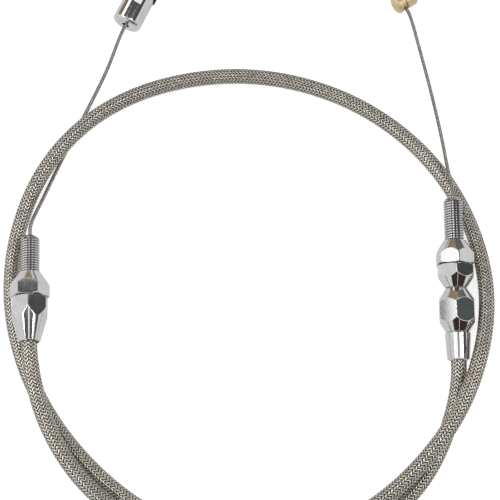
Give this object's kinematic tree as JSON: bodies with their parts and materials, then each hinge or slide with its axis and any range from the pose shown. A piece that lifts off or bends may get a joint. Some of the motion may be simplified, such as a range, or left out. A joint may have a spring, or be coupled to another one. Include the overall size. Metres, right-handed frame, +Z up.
{
  "type": "throttle control cable",
  "caption": "Throttle cable in a braided metal housing, coiled in a loop, with threaded adjusters, jam nuts, bare inner wire, a slotted fork with its bolt and a turned brass end.",
  "frame": {"origin": "under the middle of the fittings' box, on the surface that the cable lies on", "axes": "+Z up from that surface; +X from the left fitting to the right fitting; +Y the way both adjusters point"},
  "size_m": [0.2039, 0.2517, 0.0201],
  "materials": {
    "braid": "bright plaited stainless wire",
    "conduit": "plain wound steel",
    "liner": "smooth low-friction plastic",
    "wire": "bright laid strands",
    "chrome": "polished chrome plate",
    "sleeve": "plain crimped steel",
    "bush": "smooth plastic",
    "black_screw": "black oxide",
    "brass": "satin turned brass"
  },
  "bodies": {
    "housing": {"braid_sleeve": "braid", "conduit": "conduit", "liner": "liner", "core_wire": "wire", "left_wire": "wire", "right_wire": "wire", "left_adjuster": "chrome", "left_guide_bush": "bush", "left_body": "chrome", "left_crimp_sleeve": "sleeve", "right_adjuster": "chrome", "right_guide_bush": "bush", "right_body": "chrome", "right_ferrule": "chrome", "right_crimp_sleeve": "sleeve"},
    "left_jam_nut": {"left_jam_nut": "chrome"},
    "right_lower_nut": {"right_lower_nut": "chrome"},
    "right_upper_nut": {"right_upper_nut": "chrome"},
    "fork_end": {"fork_end": "chrome"},
    "fork_bolt": {"fork_bolt": "black_screw"},
    "brass_end": {"brass_end": "brass"}
  },
  "joints": [
    {"name": "fork_pull", "type": "slide", "parent": "housing", "child": "fork_end", "axis": [0.4195, 0.9078, 0], "range_m": [-0.015, 0.035], "deforming": ["left_wire"]},
    {"name": "brass_pull", "type": "slide", "parent": "housing", "child": "brass_end", "axis": [0.2, -0.9798, 0], "range_m": [-0.015, 0.035], "deforming": ["right_wire"]},
    {"name": "left_nut_turn", "type": "hinge", "parent": "housing", "child": "left_jam_nut", "pos_m": [-0.08757, -0.05649, 0.01103], "axis": [-0.0521, 0.9948, -0.0872], "continuous": true},
    {"name": "right_lower_nut_turn", "type": "hinge", "parent": "housing", "child": "right_lower_nut", "pos_m": [0.08799, -0.05172, 0.00905], "axis": [-0.0052, 0.9985, 0.0541], "continuous": true},
    {"name": "right_upper_nut_turn", "type": "hinge", "parent": "housing", "child": "right_upper_nut", "pos_m": [0.08794, -0.04194, 0.00958], "axis": [-0.0052, 0.9985, 0.0541], "continuous": true},
    {"name": "fork_bolt_turn", "type": "hinge", "parent": "fork_end", "child": "fork_bolt", "pos_m": [-0.03987, 0.07541, 0.00497], "axis": [0.8726, -0.4032, -0.2756], "continuous": true}
  ],
  "couplings": [
    {"joint": "brass_pull", "follows": "fork_pull", "ratio": 1}
  ]
}
